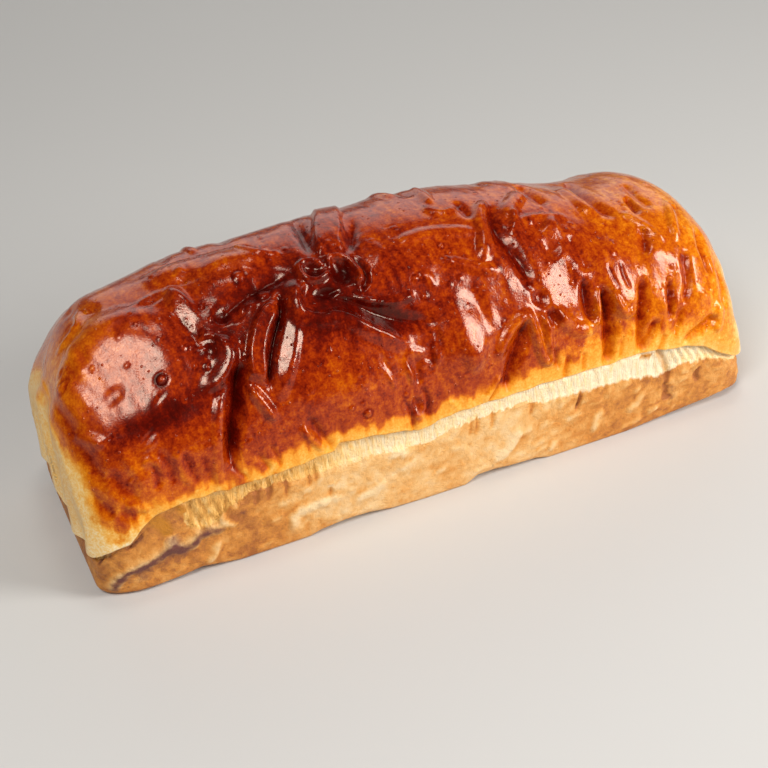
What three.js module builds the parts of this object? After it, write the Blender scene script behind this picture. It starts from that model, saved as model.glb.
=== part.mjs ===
// A whole, uncut pan loaf with a tall, deeply folded crust: one solid body of bread.
// Millimetres, +X along the loaf, -Y the front, +Z up, origin at the middle of the base.
import * as THREE from 'three';

const LENGTH = 330;
const BASE_WIDTH = 110;
const CAP_WIDTH = 118;
const HEIGHT = 121;
const WALL_HEIGHT = 45;
const FOOT_RADIUS = 3;
const CAP_OVERHANG = 2.6;

// the ends: plan corner length and depth, and how far the cap stops short of the foot there
const CORNER_LENGTH = 22;
const CORNER_DEPTH = 12;
const RIGHT_CAP_SHORT = 6;
const LEFT_CAP_SHORT = 1.5;
const END_BULGE = 1;
// each end gathers in to an upright line at its middle, between these heights
const END_LOW = 16;
const END_EDGE = 26;
const END_HIGH = 52;

// the way up over the crust, in mm: 0 foot of the front wall, EDGE cap edge, TOP crown, then down the back
const FLOOR_ARC = 55;
const EDGE = 45;
const DOME_ARC = 107;
const TOP = EDGE + DOME_ARC;
const BACK_EDGE = TOP + DOME_ARC;
const BACK_FOOT = BACK_EDGE + WALL_HEIGHT;

const HALF = LENGTH / 2;
const STRAIGHT = HALF - CORNER_LENGTH;
const CORNER_ARC = (Math.PI / 4) * (CORNER_LENGTH + CORNER_DEPTH);
const END_ARC = CAP_WIDTH / 2 - CORNER_DEPTH;
const REACH = STRAIGHT + CORNER_ARC + END_ARC;

const clamp = (v, lo, hi) => Math.min(Math.max(v, lo), hi);
const soft = (t) => {
  const c = clamp(t, 0, 1);
  return c * c * (3 - 2 * c);
};

// height of the pale pan wall: lower round the corners and across the ends
const wallHeight = (u) => WALL_HEIGHT - 15 * soft((Math.abs(u) - 132) / 33) - 7 * soft((Math.abs(u) - 165) / 30);

// height of the crown along the loaf: highest left of the middle, falling to both ends
const crownHeight = (u) => {
  const x = clamp(u, -HALF, HALF) / LENGTH;
  const end = clamp((Math.abs(u) - 125) / 40, 0, 1);
  const right = soft((u - 40) / 50) * soft((150 - u) / 40);
  return WALL_HEIGHT + (HEIGHT - WALL_HEIGHT) * (1 - 1.2 * x * x - 0.19 * x - 0.05 * right - 0.18 * end * end);
};

// one cross-section before any relief: returns y and z for a place s on the way round
function section(u, s) {
  const side = s > TOP ? 1 : -1;
  const p = s > TOP ? BACK_FOOT - s : s;
  const foot = BASE_WIDTH / 2;
  const rim = wallHeight(u);
  if (p < -4) {
    return [side * (foot - FOOT_RADIUS) * (p + FLOOR_ARC) / (FLOOR_ARC - 4), 0];
  }
  if (p < 4) {
    const t = ((p + 4) / 8) * (Math.PI / 2);
    return [side * (foot - FOOT_RADIUS * (1 - Math.sin(t))), FOOT_RADIUS * (1 - Math.cos(t))];
  }
  if (p < EDGE) {
    const t = (p - 4) / (EDGE - 4);
    return [side * (foot + (CAP_WIDTH / 2 - foot) * t), FOOT_RADIUS + (rim - FOOT_RADIUS) * t];
  }
  const turn = ((p - EDGE) / DOME_ARC) * (Math.PI / 2);
  const y = (CAP_WIDTH / 2) * Math.pow(Math.abs(Math.cos(turn)), 0.88);
  const z = rim + (crownHeight(u) - rim) * Math.pow(Math.abs(Math.sin(turn)), 1.14);
  return [side * y, z];
}

// where a place on the way round ends up on the upright line at the middle of an end
function gatherHeight(s) {
  const p = s > TOP ? BACK_FOOT - s : s;
  if (p < EDGE) {
    return END_LOW + (END_EDGE - END_LOW) * (p + FLOOR_ARC) / (EDGE + FLOOR_ARC);
  }
  return END_EDGE + (END_HIGH - END_EDGE) * Math.sin(((p - EDGE) / DOME_ARC) * (Math.PI / 2));
}

// how far a place along the loaf has gone round the corner and in across the end
function along(u) {
  const past = Math.abs(u) - STRAIGHT;
  if (past <= 0) {
    return [0, 0];
  }
  const turn = Math.min(past / CORNER_ARC, 1) * (Math.PI / 2);
  const flat = Math.max(past - CORNER_ARC, 0);
  return [Math.sin(turn), CORNER_DEPTH * (1 - Math.cos(turn)) + flat];
}

// the smooth loaf: u runs along it and on over the ends, s runs round it
function smoothPoint(u, s) {
  const [reach, inset] = along(u);
  const keep = 1 - inset / (CAP_WIDTH / 2);
  const [y, z] = section(u, s);
  const up = soft(Math.min(s, BACK_FOOT - s) / 60);
  const stop = CORNER_LENGTH - (u > 0 ? RIGHT_CAP_SHORT : LEFT_CAP_SHORT) * up;
  const x = Math.sign(u) * (Math.min(Math.abs(u), STRAIGHT) + stop * reach + END_BULGE * (1 - keep));
  const middle = gatherHeight(s);
  return new THREE.Vector3(x, y * keep, middle + (z - middle) * keep);
}

// the cap's lower edge on the front, as heights above or below EDGE at places along the loaf
const EDGE_WAVE = [[-165, -6], [-151, -9], [-141, -3], [-115, 1], [-66, 1], [-58, 5], [-33, 6],
  [-17, -2], [5, 0], [60, 0], [100, 2], [128, -5], [150, -10], [170, -9]];
function waveAt(u) {
  const last = EDGE_WAVE.length - 1;
  if (u <= EDGE_WAVE[0][0]) {
    return EDGE_WAVE[0][1];
  }
  for (let i = 0; i < last; i += 1) {
    const [u0, w0] = EDGE_WAVE[i];
    const [u1, w1] = EDGE_WAVE[i + 1];
    if (u < u1) {
      return w0 + (w1 - w0) * soft((u - u0) / (u1 - u0));
    }
  }
  return EDGE_WAVE[last][1];
}
// front and back edges run level into each other across the ends
const END_WAVE = 4;
const across = (u) => soft((Math.abs(u) - 162) / 22);
const backWave = (u) => 3 * Math.sin(u / 31 + 1) + 2 * Math.sin(u / 13);
const edgeAt = (u) => EDGE + waveAt(u) * (1 - across(u)) - END_WAVE * across(u);
const backEdgeAt = (u) => BACK_EDGE + backWave(u) * (1 - across(u)) + END_WAVE * across(u);

// relief: each fold is [half width, height] and the places it runs through, a hollow has a negative height
const FOLD_SPREAD = 2.5;
const FOLD_KEEP = 0.7;
const FOLDS = [
  // left shoulder: brow over the blistered bulge, curled lip and the long gully beside it
  [6, -2.5, [-148, 92], [-134, 88], [-117, 90], [-108, 95]],
  [4, 2.5, [-99, 140], [-102, 130], [-98, 113]],
  [4, 3, [-98, 113], [-90, 111], [-90, 102], [-98, 96], [-105, 93]],
  [4.5, -6.5, [-87, 97], [-92, 84], [-97, 68], [-99, 58]],
  [4, 2.5, [-96, 88], [-102, 66], [-104, 51]],
  [5, -4, [-90, 118], [-80, 121]],
  // tube fold with a black gully behind it, and the leg below it
  [4.5, 4, [-66, 115], [-72, 108], [-78, 98], [-81, 88]],
  [3.5, -6, [-60, 121], [-66, 110], [-73, 97], [-78, 86]],
  [4, 3, [-58, 122], [-58, 104], [-66, 92]],
  [3.5, 3, [-86, 88], [-79, 74], [-71, 63]],
  // folds that run into the pinch left of the middle
  [5, 3, [-105, 156], [-82, 152], [-66, 150], [-52, 140], [-38, 134]],
  [4, -4, [-86, 119], [-72, 126], [-58, 133], [-46, 128]],
  [6, -6, [-40, 166], [-40, 150], [-38, 141]],
  [5, 4, [-33, 131], [-31, 142], [-27, 156], [-21, 176], [-18, 200]],
  [3.5, 3, [-37, 129], [-47, 131], [-46, 122], [-36, 123]],
  [3.5, 4, [-33, 130], [-26, 126], [-22, 117]],
  [6, -7, [-34, 124], [-31, 117]],
  [5, 3.5, [-47, 122], [-54, 113], [-47, 105], [-32, 99], [-15, 87], [-4, 79]],
  [6, -6.5, [-45, 115], [-33, 106], [-20, 95], [-4, 87]],
  [3.5, 2, [-36, 114], [-20, 105], [-2, 104]],
  [5, 2.5, [-20, 160], [-8, 158], [-2, 175]],
  // middle: soft cross folds, then the long gully that comes down from the crown
  [7, 2, [0, 138], [18, 135], [38, 126]],
  [5, 3, [24, 150], [32, 142], [44, 152], [58, 148]],
  [4.5, 4, [50, 147], [44, 140], [41, 125], [35, 114]],
  [6.5, -7.5, [53, 150], [47, 130], [49, 112], [53, 98], [55, 85]],
  [5, 3.5, [42, 116], [47, 100], [53, 86]],
  [5, 4.5, [66, 148], [58, 132], [62, 118], [70, 103], [77, 90], [77, 72]],
  [5, -4, [74, 166], [74, 150], [77, 142]],
  // short folds above the cap edge, leaning more and more to the right
  [3.5, 2.5, [-14, 80], [-12, 69], [-8, 62]],
  [3, -4, [-8, 66], [-8, 48]],
  [3, -3, [-15, 64], [-15, 50]],
  [4, -3, [44, 79], [37, 69], [32, 54]],
  [4, 3, [30, 69], [37, 79], [48, 83]],
  [4, -3.5, [60, 66], [56, 56]],
  [4, -4, [78, 90], [78, 76]],
  [4, 3.5, [83, 84], [82, 66], [81, 52]],
  [4.5, -5.5, [87, 86], [87, 66], [83, 50]],
  [5, 3, [94, 106], [89, 92], [96, 76]],
  [4, -3.5, [107, 86], [103, 70], [99, 58]],
  [4, -3, [111, 66], [101, 50]],
  [4, 3, [120, 100], [113, 84], [113, 66]],
  [4, -3.5, [122, 90], [118, 70]],
  [5, -3.5, [137, 62], [122, 47]],
  [4, -3.5, [145, 110], [147, 90]],
  [4, 3, [152, 140], [141, 108], [139, 90]],
  [6, -3, [100, 160], [99, 136], [104, 122]],
  // left and right ends: folds that gather towards the cap edge
  [5, -3, [-159, 76], [-152, 58], [-146, 47]],
  [4, 2.5, [-157, 104], [-147, 90]],
  [6, -3.5, [-142, 172], [-142, 150]],
  [5, 1.5, [-134, 176], [-137, 160], [-152, 150]],
];

// relief: broad swellings, as [place, radius along, radius round, height]
const SWELLINGS = [
  [-137, 120, 26, 30, 3], [-75, 142, 24, 14, 3], [-42, 84, 32, 26, 3], [-4, 124, 28, 22, 2.5],
  [20, 88, 20, 30, 3], [68, 124, 14, 24, 2], [96, 92, 14, 22, 2], [126, 120, 26, 36, 2],
  [-112, 76, 22, 24, 2.5], [20, 186, 34, 26, 2], [-90, 190, 26, 30, 3], [116, 200, 34, 30, 1],
  [-60, 232, 34, 26, 2.5], [40, 228, 34, 26, 2.5],
  [-162, 172, 24, 44, -5], [106, 172, 26, 32, -3], [68, 176, 16, 20, 1.5],
];

function segmentDistance(u, s, a, b) {
  const du = b[0] - a[0];
  const ds = b[1] - a[1];
  const t = clamp(((u - a[0]) * du + (s - a[1]) * ds) / (du * du + ds * ds), 0, 1);
  return Math.hypot(u - a[0] - t * du, s - a[1] - t * ds);
}

function foldRelief(u, s) {
  let sum = 0;
  for (const [half, height, ...way] of FOLDS) {
    let near = Infinity;
    for (let i = 0; i + 1 < way.length; i += 1) {
      near = Math.min(near, segmentDistance(u, s, way[i], way[i + 1]));
    }
    const t = near / (half + FOLD_SPREAD);
    if (t < 1) {
      sum += FOLD_KEEP * height * (1 - t * t) * (1 - t * t);
    }
  }
  for (const [cu, cs, ru, rs, height] of SWELLINGS) {
    const d = ((u - cu) / ru) ** 2 + ((s - cs) / rs) ** 2;
    if (d < 1) {
      sum += height * (1 - d) * (1 - d);
    }
  }
  return sum;
}

// flutes: folds hung from the crown over the back, fanning outwards to both ends
function sideFlutes(u, s) {
  const fan = u - 0.0016 * u * (TOP - s);
  const drift = 5 * Math.sin(s / 19 + u / 37) + 3 * Math.sin(s / 9 - u / 23);
  const wide = Math.sin((fan + drift) / 6.1 + 1.2 * Math.sin(u / 29));
  const fine = Math.sin((fan - drift) / 3.4 + 0.9 * Math.sin(s / 15));
  return 1.7 * wide * Math.abs(wide) + 0.6 * fine;
}

// flutes over an end, from the place across it and the height
function endFlutes(y, z) {
  const fan = y * (1 + 0.004 * (70 - z));
  const drift = 4 * Math.sin(z / 13 + y / 21) + 2 * Math.sin(z / 7);
  return 1.5 * Math.sin((fan + drift) / 5.4 + 0.8) + 0.5 * Math.sin((fan - drift) / 3.1);
}

function relief(u, s) {
  const low = edgeAt(u);
  const high = backEdgeAt(u);
  const cap = Math.min(soft((s - low + 1.2) / 2.4), soft((high + 1.2 - s) / 2.4));
  const corner = soft((Math.abs(u) - 138) / 14) * soft((186 - Math.abs(u)) / 14);
  const out = cap * CAP_OVERHANG * (1 - 0.5 * corner);
  const back = soft((s - 168) / 20);
  const end = soft((Math.abs(u) - 150) / 16);
  const at = smoothPoint(u, s);
  const hung = Math.max(back, 0.22) * (1 - end) * sideFlutes(u, s) + end * endFlutes(at.y, at.z);
  const flutes = cap * (1 - 0.5 * corner) * hung;
  // skin of the pan wall: a hollow under the cap and a shallow, torn waviness
  const wall = (1 - cap) * soft((Math.min(s, BACK_FOOT - s) - 2) / 6);
  const under = -1.6 * wall * (Math.exp(-(((s - low + 5) / 5) ** 2)) + Math.exp(-(((s - high - 5) / 5) ** 2)));
  const skin = 0.5 * wall * (1 - end) * (Math.sin(u / 7.3 + 2 * Math.sin(s / 11)) + Math.sin(s / 6.1 + u / 19));
  return out + flutes + under + skin + foldRelief(u, s) * cap * (1 - soft((Math.abs(u) - 168) / 14));
}

// the foot is pressed this far down and cut off flat, and the whole is moved to stand over the origin
const SINK = 0.6;
const SHIFT_X = 1.5;
const SHIFT_Y = -0.3;

// relief is averaged over about one patch, so that a fold runs evenly across the patches
const PATCH = [3.6, 4.3];
function evenRelief(u, s) {
  let sum = 0;
  let weight = 0;
  for (const i of [-1, 0, 1]) {
    for (const j of [-1, 0, 1]) {
      const w = (2 - Math.abs(i)) * (2 - Math.abs(j));
      sum += w * relief(u + 0.5 * i * PATCH[0], s + 0.5 * j * PATCH[1]);
      weight += w;
    }
  }
  return sum / weight;
}

function loafPoint(u, s) {
  const e = 0.4;
  const p = smoothPoint(u, s);
  const alongU = smoothPoint(u + e, s).sub(smoothPoint(u - e, s));
  const alongS = smoothPoint(u, s + e).sub(smoothPoint(u, s - e));
  const normal = alongU.cross(alongS).normalize();
  p.addScaledVector(normal, evenRelief(u, s));
  p.z = Math.max(p.z - SINK, 0);
  p.x += SHIFT_X;
  p.y += SHIFT_Y;
  return p;
}

// the rows round the loaf: close together at the cap edge and over the front, wider at the back
function rowPlaces() {
  const rows = [-55, -28, -4, 0, 4, 16, 28, 38, 43.6, 46.2, 49.5];
  for (let s = 54; s < 166; s += 4.3) {
    rows.push(s);
  }
  for (let s = 172; s < 252; s += 12) {
    rows.push(s);
  }
  return rows.concat([257.8, 260.4, 266, 278, 290, 300, 304, 308, 332]);
}

// rows near a cap edge follow its waves
function follow(u, s) {
  const nearFront = 1 - soft((Math.abs(s - EDGE) - 3) / 30);
  const nearBack = 1 - soft((Math.abs(s - BACK_EDGE) - 3) / 30);
  return s + nearFront * (edgeAt(u) - EDGE) + nearBack * (backEdgeAt(u) - BACK_EDGE);
}

function columnPlaces() {
  const columns = [];
  const mid = 84;
  for (let i = 0; i <= mid; i += 1) {
    columns.push(-STRAIGHT - 10 + ((2 * STRAIGHT + 20) * i) / mid);
  }
  const steps = [158, 164, 170, 179, 190, 202, 211];
  return [...steps.map((u) => -u).reverse(), ...columns, ...steps];
}

// the middle of a patch, on the way round
function between(columns, rows, i, j) {
  const next = j + 1 < rows.length ? rows[j + 1] : rows[0] + BACK_FOOT + 2 * FLOOR_ARC;
  const u = (columns[i] + columns[i + 1]) / 2;
  return (follow(u, rows[j]) + follow(u, next)) / 2;
}

// the narrow slot left at an end is sewn up from the foot to the crown, front row to back row
function closeEnd(faces, first, rows, facingRight) {
  let front = 0;
  let back = rows.length - 1;
  while (back - front > 1) {
    const stepFront = rows[front + 1] <= BACK_FOOT - rows[back - 1];
    const a = first + front;
    const b = first + back;
    const c = first + (stepFront ? front + 1 : back - 1);
    faces.push(...(facingRight ? [a, b, c] : [a, c, b]));
    front += stepFront ? 1 : 0;
    back -= stepFront ? 0 : 1;
  }
}

function loafGeometry() {
  const rows = rowPlaces();
  const columns = columnPlaces();
  const positions = [];
  for (const u of columns) {
    for (const s of rows) {
      const p = loafPoint(u, follow(u, s));
      positions.push(p.x, p.y, p.z);
    }
  }
  const n = rows.length;
  const faces = [];
  const corner = (k) => new THREE.Vector3().fromArray(positions, 3 * k);
  for (let i = 0; i + 1 < columns.length; i += 1) {
    for (let j = 0; j < n; j += 1) {
      const a = i * n + j;
      const b = i * n + ((j + 1) % n);
      // each four-sided patch is split along the diagonal that lies closer to the true surface
      const middle = loafPoint((columns[i] + columns[i + 1]) / 2, between(columns, rows, i, j));
      const offA = corner(a).add(corner(b + n)).multiplyScalar(0.5).distanceTo(middle);
      const offB = corner(b).add(corner(a + n)).multiplyScalar(0.5).distanceTo(middle);
      if (offA <= offB) {
        faces.push(a, a + n, b + n, a, b + n, b);
      } else {
        faces.push(a, a + n, b, a + n, b + n, b);
      }
    }
  }
  closeEnd(faces, 0, rows, false);
  closeEnd(faces, (columns.length - 1) * n, rows, true);
  const geometry = new THREE.BufferGeometry();
  geometry.setAttribute('position', new THREE.Float32BufferAttribute(positions, 3));
  geometry.setIndex(faces);
  geometry.computeVertexNormals();
  return geometry;
}

const crust = new THREE.MeshStandardMaterial({ color: 0xa4571c, roughness: 0.35, metalness: 0 });
const loaf = new THREE.Mesh(loafGeometry(), crust);
loaf.name = 'loaf';

const part = new THREE.Group();
part.name = 'whole_pan_loaf';
part.add(loaf);

export default part;
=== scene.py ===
import math

import bmesh
import bpy
import numpy as np
from mathutils import Matrix, Vector, noise


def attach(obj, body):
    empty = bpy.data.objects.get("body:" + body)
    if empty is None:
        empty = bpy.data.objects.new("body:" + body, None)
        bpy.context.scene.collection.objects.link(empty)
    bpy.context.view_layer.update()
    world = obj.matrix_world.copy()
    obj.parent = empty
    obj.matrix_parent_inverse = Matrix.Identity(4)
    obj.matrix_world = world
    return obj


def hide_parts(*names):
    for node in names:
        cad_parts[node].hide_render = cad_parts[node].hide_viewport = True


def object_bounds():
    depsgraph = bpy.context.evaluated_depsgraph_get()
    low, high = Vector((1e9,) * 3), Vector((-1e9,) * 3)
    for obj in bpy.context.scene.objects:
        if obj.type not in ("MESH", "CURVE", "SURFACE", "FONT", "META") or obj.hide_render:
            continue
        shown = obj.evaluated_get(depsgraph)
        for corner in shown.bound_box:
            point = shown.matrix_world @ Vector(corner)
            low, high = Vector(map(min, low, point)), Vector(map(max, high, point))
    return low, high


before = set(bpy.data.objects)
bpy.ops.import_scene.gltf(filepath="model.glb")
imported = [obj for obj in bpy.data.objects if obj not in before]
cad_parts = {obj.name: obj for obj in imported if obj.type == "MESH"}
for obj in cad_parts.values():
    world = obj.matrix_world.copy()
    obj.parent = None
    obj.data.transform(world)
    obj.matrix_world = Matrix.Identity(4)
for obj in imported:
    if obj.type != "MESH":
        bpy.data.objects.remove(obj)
cad_low, cad_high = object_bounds()

# ----------------------------------------
# The proofed dough. Enriched white dough fills a long straight-sided tin and rises over its rim.
# It is one smooth body first: u runs along the loaf and on across both ends, s runs up the front
# wall, over the crown and down the back, both in millimetres.
MM = 0.001  # in metres
LENGTH = 330.0
BASE_WIDTH = 110.0
CAP_WIDTH = 118.0
HEIGHT = 121.0
WALL = 45.0
FOOT_RADIUS = 3.0
HALF = LENGTH / 2
HALF_CAP = CAP_WIDTH / 2
SHOULDER_OUT, SHOULDER_UP = 0.88, 1.14  # how full the shoulders are, where 1 would be an ellipse

# the rounded corners, how far the cap stops short over each, and the middle line of an end
CORNER_LENGTH = 22.0
CORNER_DEPTH = 12.0
RIGHT_CAP_SHORT = 6.0
LEFT_CAP_SHORT = 1.5
CAP_ARC = 60.0
END_BULGE = 1.0
END_LOW, END_EDGE, END_HIGH = 16.0, 26.0, 52.0

# where s meets the foot, the edge of the cap and the top, and how far u reaches across an end
FLOOR_ARC = 55.0
FOOT_ARC = 4.0
EDGE = 45.0
DOME_ARC = 107.0
TOP = EDGE + DOME_ARC
BACK_EDGE = TOP + DOME_ARC
BACK_FOOT = BACK_EDGE + WALL
STRAIGHT = HALF - CORNER_LENGTH
CORNER_ARC = (math.pi / 4) * (CORNER_LENGTH + CORNER_DEPTH)
REACH = STRAIGHT + CORNER_ARC + HALF_CAP - CORNER_DEPTH


def soft(t):
    """An even step from 0 to 1."""
    t = np.clip(t, 0.0, 1.0)
    return t * t * (3 - 2 * t)


def wall_height(u):
    """The cap's edge lies lower towards the corners and lower still on the ends."""
    return WALL - 15 * soft((np.abs(u) - 132) / 33) - 7 * soft((np.abs(u) - 165) / 30)


def crown_height(u):
    """The crown arches along the loaf, tips down to the right and drops away at both ends."""
    x = np.clip(u, -HALF, HALF) / LENGTH
    end = np.clip((np.abs(u) - 125) / 40, 0, 1)
    right = soft((u - 40) / 50) * soft((150 - u) / 40)
    arch = 1 - 1.2 * x * x - 0.19 * x - 0.05 * right - 0.18 * end * end
    return WALL + (HEIGHT - WALL) * arch


def cross_section(u, s):
    """Half a slice through the loaf: how far out and how high a place on the way round is."""
    p = np.where(s > TOP, BACK_FOOT - s, s)
    foot = BASE_WIDTH / 2
    rim = wall_height(u)
    under = (foot - FOOT_RADIUS) * (p + FLOOR_ARC) / (FLOOR_ARC - FOOT_ARC)
    turn = np.clip((p + FOOT_ARC) / (2 * FOOT_ARC), 0, 1) * math.pi / 2
    climb = np.clip((p - FOOT_ARC) / (EDGE - FOOT_ARC), 0, 1)
    dome = np.clip((p - EDGE) / DOME_ARC, 0, 1) * math.pi / 2
    regions = [p < -FOOT_ARC, p < FOOT_ARC, p < EDGE]
    y = np.select(
        regions,
        [under, foot - FOOT_RADIUS * (1 - np.sin(turn)), foot + (HALF_CAP - foot) * climb],
        HALF_CAP * np.abs(np.cos(dome)) ** SHOULDER_OUT,
    )
    z = np.select(
        regions,
        [0 * p, FOOT_RADIUS * (1 - np.cos(turn)), FOOT_RADIUS + (rim - FOOT_RADIUS) * climb],
        rim + (crown_height(u) - rim) * np.abs(np.sin(dome)) ** SHOULDER_UP,
    )
    return np.where(s > TOP, y, -y), z


def gather_height(s):
    """Where the way round ends up on the upright line at the middle of an end."""
    p = np.where(s > TOP, BACK_FOOT - s, s)
    dome = np.clip((p - EDGE) / DOME_ARC, 0, 1) * math.pi / 2
    low = END_LOW + (END_EDGE - END_LOW) * (p + FLOOR_ARC) / (EDGE + FLOOR_ARC)
    return np.where(p < EDGE, low, END_EDGE + (END_HIGH - END_EDGE) * np.sin(dome))


def dough(u, s):
    """The smooth loaf's points, in millimetres."""
    past = np.maximum(np.abs(u) - STRAIGHT, 0)
    turn = np.minimum(past / CORNER_ARC, 1) * math.pi / 2
    inset = CORNER_DEPTH * (1 - np.cos(turn)) + np.maximum(past - CORNER_ARC, 0)
    keep = 1 - inset / HALF_CAP
    y, z = cross_section(u, s)
    up = soft(np.minimum(s, BACK_FOOT - s) / CAP_ARC)
    stop = CORNER_LENGTH - np.where(u > 0, RIGHT_CAP_SHORT, LEFT_CAP_SHORT) * up
    x = np.minimum(np.abs(u), STRAIGHT) + stop * np.sin(turn) + END_BULGE * (1 - keep)
    middle = gather_height(s)
    return np.stack([np.sign(u) * x, y * keep, middle + (z - middle) * keep], axis=-1)


# The lower edge of the crust, in millimetres above or below EDGE along the front. It hangs in lobes
# where the dough spread over the tin's rim, and dips towards both ends.
LOBES = [
    (-165, -5), (-158, -1.5), (-153, -2), (-148, -4.5), (-143, 1), (-137, 2), (-130, 3.5), (-120, 4),
    (-106, 4), (-103, 2.5), (-100, 3.5), (-80, 3.5), (-68, 4), (-59, 6), (-54, 5.5), (-51, 8.5),
    (-40, 8), (-34, 7.5), (-29, 5.5), (-20, 3.5), (-16, 1.5), (-7, 0.5), (-3, 2.5), (10, 4), (30, 3.5),
    (50, 4.5), (80, 4), (84, 3.5), (90, 4.5), (105, 5), (112, 3.5), (118, 1.5), (125, -0.5),
    (130, -1.5), (138, -4.5), (145, -6.5), (155, -8), (170, -9),
]
END_WAVE = 4.0


def across_end(u):
    """From 0 on the long sides to 1 across an end."""
    return soft((np.abs(u) - 162) / 22)


def front_edge(u):
    places, waves = zip(*LOBES)
    wave = np.interp(u, places, waves) + 0.35 * np.sin(u / 2.9) * np.sin(u / 11.0)
    return EDGE + wave * (1 - across_end(u)) - END_WAVE * across_end(u)


def back_edge(u):
    wave = 3 * np.sin(u / 31 + 1) + 2 * np.sin(u / 13) + 0.5 * np.sin(u / 3.1)
    return BACK_EDGE + wave * (1 - across_end(u)) + END_WAVE * across_end(u)


# The skin starts as a flat sheet, one row or column about every millimetre where the loaf is seen
# from the front, wider apart on the back and under the base.


def spread(*runs):
    """Places run by run: where each run starts and how many steps it takes to the next one."""
    starts = [start for start, steps in runs]
    ends = starts[1:]
    cut = [np.linspace(start, end, steps, endpoint=False) for (start, steps), end in zip(runs, ends)]
    return np.concatenate(cut + [ends[-1:]])


SLOT = 0.3  # half the gap left between the columns that meet at the middle of an end
COLUMNS = spread((-REACH + SLOT, 25), (-168, 65), (-108, 121), (-12, 57), (44, 105), (130, 23), (152, 25),
                 (REACH - SLOT, 0))
ROWS = spread((-FLOOR_ARC, 4), (-FOOT_ARC, 6), (6, 24), (38, 20), (52, 121), (160, 15), (182, 19), (250, 11),
              (266, 7), (300, 4), (308, 4), (BACK_FOOT + FLOOR_ARC, 0))
U, S = np.meshgrid(COLUMNS, ROWS, indexing="ij")
LOW = front_edge(U)
HIGH = back_edge(U)
near_front = 1 - soft((np.abs(S - EDGE) - 6) / 30)
near_back = 1 - soft((np.abs(S - BACK_EDGE) - 6) / 30)
S = S + near_front * (LOW - EDGE) + near_back * (HIGH - BACK_EDGE)
P = np.where(S > TOP, BACK_FOOT - S, S)
smooth = dough(U, S)

# ----------------------------------------
# Folds of the crust. The dough sank a little as it cooled, and its baked skin was left too large
# for it: it lies in ridges, gullies and one-sided laps that run together at a pinch left of the
# middle. Each is a smooth line through a few places on the crust.
DOUGH_ROUND = 62.0  # how round the dough is over the shoulders, in millimetres

# how far the skin is pushed out and slid along u and s, and how much painted shade lies in its creases and
# painted highlight on its folds
height, slide_u, slide_s, shade, crest_highlight = (np.zeros_like(U) for _ in range(5))


def smooth_way(places, steps=6):
    """Points on a smooth line through the places."""
    a = np.array(places, float)
    a = np.vstack([2 * a[0] - a[1], a, 2 * a[-1] - a[-2]])
    way = []
    for i in range(1, len(a) - 2):
        for t in np.linspace(0, 1, steps, endpoint=False):
            way.append(0.5 * (
                2 * a[i]
                + (a[i + 1] - a[i - 1]) * t
                + (2 * a[i - 1] - 5 * a[i] + 4 * a[i + 1] - a[i + 2]) * t * t
                + (3 * a[i] - a[i - 1] - 3 * a[i + 1] + a[i + 2]) * t ** 3
            ))
    way.append(a[-2])
    return np.array(way)


def near_way(places, half, narrow=0.45):
    """The skin's points near a line: which they are, how far off in half widths, how far along, on
    which side, and which way the line heads there. Its ends are narrower by the given share."""
    way = smooth_way(places)
    low = way.min(0) - half
    high = way.max(0) + half
    found = (U > low[0]) & (U < high[0]) & (S > low[1]) & (S < high[1])
    pu, ps = U[found], S[found]
    near = np.full(pu.shape, np.inf)
    side = np.zeros(pu.shape)
    done = np.zeros(pu.shape)
    heading = np.zeros((2,) + pu.shape)
    for i in range(len(way) - 1):
        (au, a_s), (bu, b_s) = way[i], way[i + 1]
        du, ds = bu - au, b_s - a_s
        t = np.clip(((pu - au) * du + (ps - a_s) * ds) / (du * du + ds * ds), 0, 1)
        off = np.hypot(pu - au - t * du, ps - a_s - t * ds)
        closer = off < near
        turn = du * (ps - a_s) - ds * (pu - au)
        side = np.where(closer, np.sign(turn), side)
        done = np.where(closer, (i + t) / (len(way) - 1), done)
        heading = np.where(closer, np.array([[du], [ds]]) / math.hypot(du, ds), heading)
        near = np.minimum(near, off)
    width = half * (1 - narrow + narrow * np.sqrt(np.sin(math.pi * np.clip(done, 0, 1))))
    return found, near / width, done, side, heading


def taper(done, ends):
    """Folds run out at both ends of their line."""
    return soft(done / ends + 0.1) * soft((1 - done) / ends + 0.1)


def ridge(half, rise, *places, ends=0.22):
    """A rounded fold that stands up from the skin, painted lighter along it as a painted highlight."""
    found, off, done = near_way(places, half)[:3]
    shape = np.maximum(1 - off * off, 0) ** 1.25 * taper(done, ends)
    height[found] += rise * shape
    crest_highlight[found] += 0.16 * rise * shape


def gully(half, depth, *places, ends=0.22, painted_shade=0.3):
    """A crease where puffed skin meets skin: rounded shoulders that fall together to a narrow foot, painted
    darker towards the foot as painted shade.
    """
    found, off, done = near_way(places, half)[:3]
    shape = (1 - np.minimum(np.sqrt(off * off + 0.015), 1)) ** 2 * taper(done, ends)
    height[found] -= depth * shape
    shade[found] += 1.4 * painted_shade * shape


def lap(half, rise, steep, *places, ends=0.22, lean=0.0, painted_shade=0.2):
    """A fold that leans over: it rises slowly on one side and drops off short on the steep one. The slow side
    gets a painted highlight, and painted shadow lies at the foot of the steep side.
    """
    found, off, done, side, heading = near_way(places, half, narrow=0.3)
    t = np.where(side * steep < 0, -off, off / 0.5)
    shape = np.where(t < 0, soft(1 + t), 1 - soft(t)) * taper(done, ends)
    height[found] += rise * shape
    slide_u[found] -= steep * heading[1] * lean * shape
    slide_s[found] += steep * heading[0] * lean * shape
    crest_highlight[found] += 0.14 * rise * shape * (t < 0) * soft(1 + 3 * t)
    shade[found] += painted_shade * np.exp(-((t - 1.1) ** 2) * 4) * taper(done, ends)


def band(half, rise, *places, ends=0.1):
    """A flat strap of crust with steep sides."""
    found, off, done = near_way(places, half, narrow=0.0)[:3]
    height[found] += rise * soft((1 - off) / 0.4) * taper(done, ends)


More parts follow.
